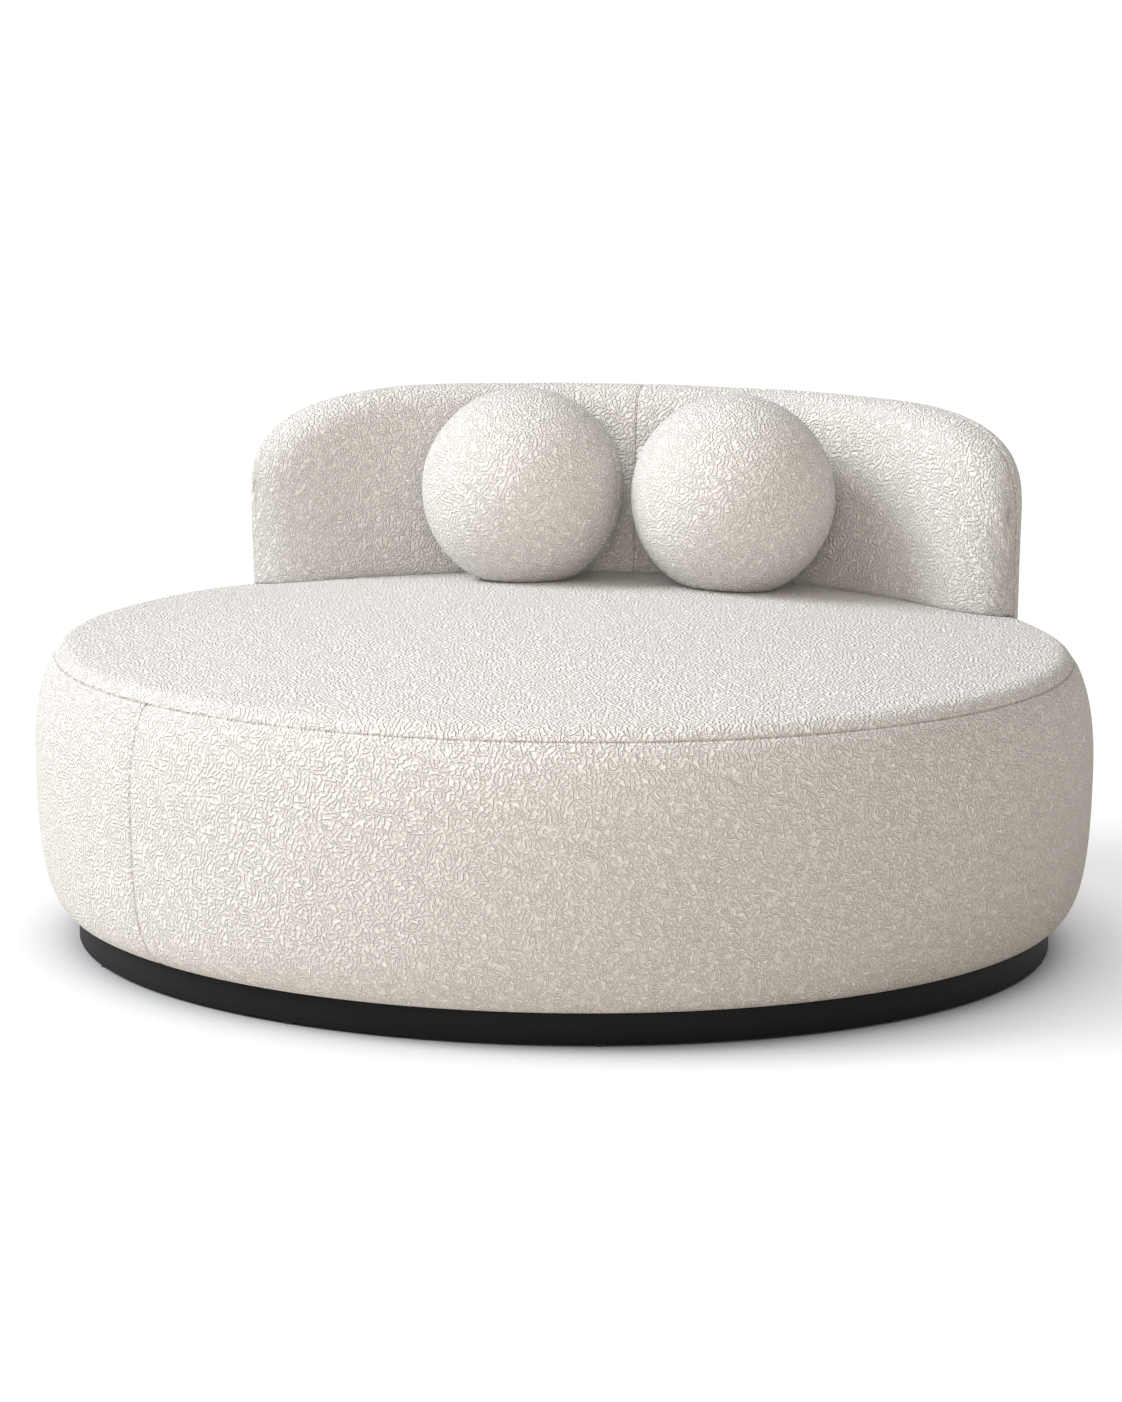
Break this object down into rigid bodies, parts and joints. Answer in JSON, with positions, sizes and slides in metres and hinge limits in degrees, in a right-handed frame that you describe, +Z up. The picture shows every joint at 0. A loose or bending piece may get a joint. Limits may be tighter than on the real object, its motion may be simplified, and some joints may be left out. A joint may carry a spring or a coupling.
{
  "type": "upholstered daybed",
  "caption": "Oval bouclé daybed: a deep drum seat on a recessed dark plinth, a low wrapped back and loose ball pillows.",
  "frame": {"origin": "on the floor under the middle of the oval seat", "axes": "+X towards the right of someone facing the front, +Y towards the back, +Z up"},
  "size_m": [1.5, 1.35, 0.7334],
  "materials": {
    "cream_boucle": "crinkled bouclé, matt",
    "black_stained_wood": "black-stained veneer, satin",
    "glide_plastic": "matt moulded",
    "pine": "planed softwood",
    "plywood": "plain plywood",
    "dust_cloth_fabric": "non-woven cloth",
    "zinc_steel": "zinc-plated",
    "webbing_fabric": "woven elastic webbing",
    "foam": "open-cell upholstery foam",
    "filling": "fibre filling"
  },
  "bodies": {
    "daybed": {"plinth_ring": "black_stained_wood", "floor_glides": "glide_plastic", "plinth_glue_blocks": "pine", "plinth_long_brace": "pine", "plinth_cross_brace_left": "pine", "plinth_cross_brace_right": "pine", "dust_cloth": "dust_cloth_fabric", "seat_base_board": "plywood", "seat_deck_rim": "plywood", "seat_side_skin": "plywood", "seat_rib_01": "plywood", "seat_rib_02": "plywood", "seat_rib_03": "plywood", "seat_rib_04": "plywood", "seat_rib_05": "plywood", "seat_rib_06": "plywood", "seat_rib_07": "plywood", "seat_rib_08": "plywood", "seat_rib_09": "plywood", "seat_rib_10": "plywood", "seat_rib_11": "plywood", "seat_rib_12": "plywood", "seat_rib_13": "plywood", "seat_rib_14": "plywood", "seat_rib_15": "plywood", "webbing_lengthwise": "webbing_fabric", "webbing_crosswise": "webbing_fabric", "seat_side_foam": "foam", "seat_foam_core": "foam", "seat_foam_topper": "foam", "back_front_foam": "foam", "back_rear_foam": "foam", "back_top_foam": "foam", "seat_cover_top": "cream_boucle", "seat_cover_front_band": "cream_boucle", "seat_cover_rear_band": "cream_boucle", "back_post_1": "plywood", "back_post_2": "plywood", "back_post_3": "plywood", "back_post_4": "plywood", "back_post_5": "plywood", "back_post_6": "plywood", "back_low_rail": "plywood", "back_high_rail": "plywood", "back_front_panel": "plywood", "back_rear_panel": "plywood", "back_bolts": "zinc_steel", "back_cover_inner_left": "cream_boucle", "back_cover_inner_right": "cream_boucle", "back_cover_outer": "cream_boucle"},
    "left_pillow": {"left_pillow_cover": "cream_boucle", "left_pillow_filling": "filling"},
    "right_pillow": {"right_pillow_cover": "cream_boucle", "right_pillow_filling": "filling"}
  },
  "joints": [
    {"name": "left_pillow_lift", "type": "slide", "parent": "daybed", "child": "left_pillow", "axis": [0, 0, 1], "range_m": [0, 0.35]},
    {"name": "right_pillow_lift", "type": "slide", "parent": "daybed", "child": "right_pillow", "axis": [0, 0, 1], "range_m": [0, 0.35]}
  ]
}
